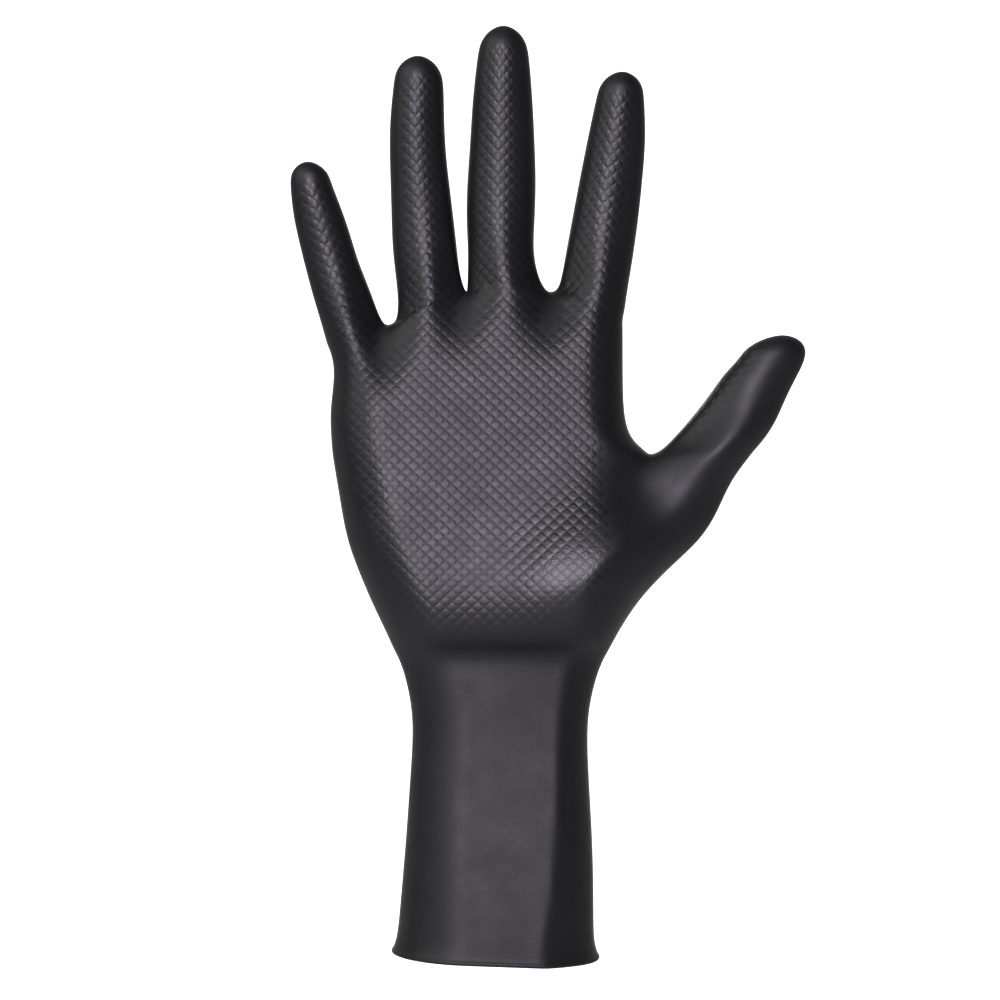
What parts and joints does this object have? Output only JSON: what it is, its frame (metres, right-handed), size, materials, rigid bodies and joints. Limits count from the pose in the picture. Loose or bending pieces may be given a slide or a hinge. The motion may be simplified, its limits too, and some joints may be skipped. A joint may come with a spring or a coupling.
{
  "type": "nitrile exam glove",
  "caption": "Long-cuffed nitrile exam glove in its worn form: a hollow film with fingers, thumb, gripping palm relief, flared cuff and rolled rim.",
  "frame": {"origin": "centre of the cuff's mouth", "axes": "+Z from the cuff's mouth up through the fingers, palm towards -Y, thumb towards +X"},
  "size_m": [0.1648, 0.056, 0.3002],
  "materials": {
    "nitrile_film": "satin black nitrile film with raised diamond grip"
  },
  "bodies": {
    "root": {"glove": "nitrile_film"}
  },
  "joints": []
}
